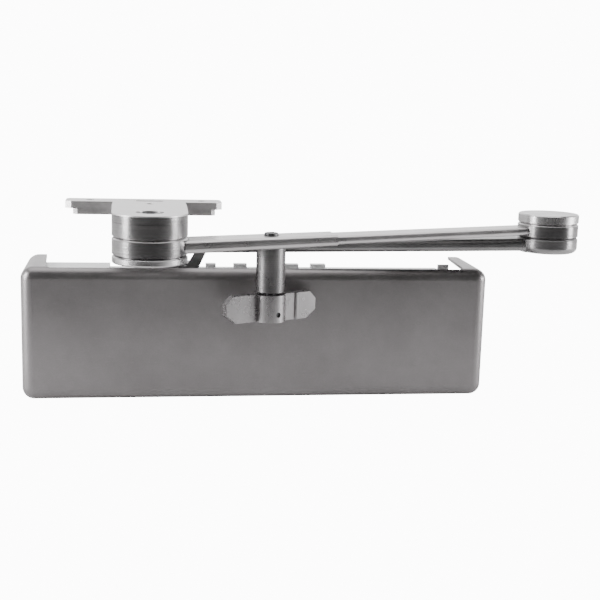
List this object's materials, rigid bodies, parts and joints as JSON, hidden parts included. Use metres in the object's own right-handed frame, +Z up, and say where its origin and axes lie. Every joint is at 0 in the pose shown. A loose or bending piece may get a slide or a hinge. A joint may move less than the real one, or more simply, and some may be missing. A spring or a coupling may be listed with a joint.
{
  "type": "door closer",
  "caption": "Surface door closer with full metal cover, parallel double arm, soffit plate and a hold-open thumb-turn under the forearm.",
  "frame": {"origin": "centre of the four door bolt holes on the closer body's back face, which lies on the door", "axes": "+X along the closer towards the elbow of the arm, +Y into the door, +Z up"},
  "size_m": [0.3754, 0.1116, 0.1296],
  "materials": {
    "cover_paint": "satin silver paint",
    "arm_paint": "satin silver paint on forged steel",
    "turned_steel": "turned, satin",
    "dark_steel": "blackened",
    "casting": "cast, painted grey",
    "zinc_steel": "zinc plated",
    "rubber_seal": "matt",
    "bronze": "sintered bronze",
    "spring_steel": "oiled"
  },
  "bodies": {
    "closer_body": {"body_casting": "casting", "end_plug_left": "dark_steel", "end_plug_right": "dark_steel", "end_seals": "rubber_seal", "pinion_bearings": "bronze", "pinion_seal": "rubber_seal", "gland_nut": "zinc_steel", "lower_bearing_cap": "dark_steel", "fill_plug": "dark_steel", "cover": "cover_paint", "cover_bracket_left": "zinc_steel", "cover_bracket_right": "zinc_steel", "bracket_screws": "zinc_steel", "cover_screws": "zinc_steel", "main_spring": "spring_steel"},
    "spindle_arm": {"pinion_shaft": "dark_steel", "main_arm": "arm_paint", "arm_screw": "dark_steel", "arm_washer": "zinc_steel", "elbow_pin": "turned_steel", "elbow_cap": "turned_steel"},
    "piston_unit": {"piston": "dark_steel", "check_ball": "zinc_steel", "check_retainer": "bronze"},
    "spring_seat_unit": {"spring_seat": "dark_steel"},
    "adjuster_screw": {"spring_adjuster": "zinc_steel"},
    "sweep_screw": {"sweep_valve": "zinc_steel"},
    "latch_screw": {"latch_valve": "zinc_steel"},
    "backcheck_screw": {"backcheck_valve": "zinc_steel"},
    "forearm_unit": {"forearm": "arm_paint", "elbow_bush": "bronze", "post": "turned_steel", "shoe_bush": "bronze"},
    "thumb_turn_unit": {"thumb_lever": "arm_paint", "cam_rod": "dark_steel", "rod_screw": "dark_steel", "set_screw": "dark_steel"},
    "latch_bar_unit": {"latch_bar": "dark_steel"},
    "shoe_unit": {"soffit_plate": "arm_paint", "shoe_pivot_bolt": "dark_steel", "lower_disc": "turned_steel"}
  },
  "joints": [
    {"name": "spindle_swing", "type": "hinge", "parent": "closer_body", "child": "spindle_arm", "pos_m": [-0.062, -0.024, 0.04], "axis": [0, 0, 1], "range_deg": [-85, 0]},
    {"name": "piston_slide", "type": "slide", "parent": "closer_body", "child": "piston_unit", "axis": [1, 0, 0], "range_m": [0, 0.0165], "deforming": ["main_spring"]},
    {"name": "elbow", "type": "hinge", "parent": "spindle_arm", "child": "forearm_unit", "pos_m": [0.1962, -0.058, 0.073], "axis": [0, 0, 1], "range_deg": [0, 160]},
    {"name": "shoe_pivot", "type": "hinge", "parent": "forearm_unit", "child": "shoe_unit", "pos_m": [-0.0733, -0.088, 0.064], "axis": [0, 0, 1], "range_deg": [-120, 20]},
    {"name": "thumb_turn", "type": "hinge", "parent": "forearm_unit", "child": "thumb_turn_unit", "pos_m": [0.00382, -0.07941, 0.023], "axis": [0, 0, 1], "range_deg": [-54, 0]},
    {"name": "latch_slide", "type": "slide", "parent": "forearm_unit", "child": "latch_bar_unit", "axis": [-0.9939, -0.1106, 0], "range_m": [0, 0.0012]},
    {"name": "spring_power", "type": "hinge", "parent": "closer_body", "child": "adjuster_screw", "pos_m": [0.1, -0.024, 0], "axis": [1, 0, 0], "range_deg": [0, 1440]},
    {"name": "spring_seat_travel", "type": "slide", "parent": "closer_body", "child": "spring_seat_unit", "axis": [-1, 0, 0], "range_m": [0, 0.005], "deforming": ["main_spring"]},
    {"name": "sweep_adjust", "type": "hinge", "parent": "closer_body", "child": "sweep_screw", "pos_m": [0.11, -0.0425, 0.02], "axis": [1, 0, 0], "range_deg": [0, 720]},
    {"name": "latch_adjust", "type": "hinge", "parent": "closer_body", "child": "latch_screw", "pos_m": [0.11, -0.0425, -0.02], "axis": [1, 0, 0], "range_deg": [0, 720]},
    {"name": "backcheck_adjust", "type": "hinge", "parent": "closer_body", "child": "backcheck_screw", "pos_m": [-0.116, -0.0425, -0.02], "axis": [-1, 0, 0], "range_deg": [0, 720]}
  ],
  "couplings": [
    {"joint": "piston_slide", "follows": "spindle_swing", "m_per_rad": -0.011},
    {"joint": "thumb_turn", "follows": "latch_slide", "rad_per_m": -785.3},
    {"joint": "spring_power", "follows": "spring_seat_travel", "rad_per_m": 5026}
  ]
}
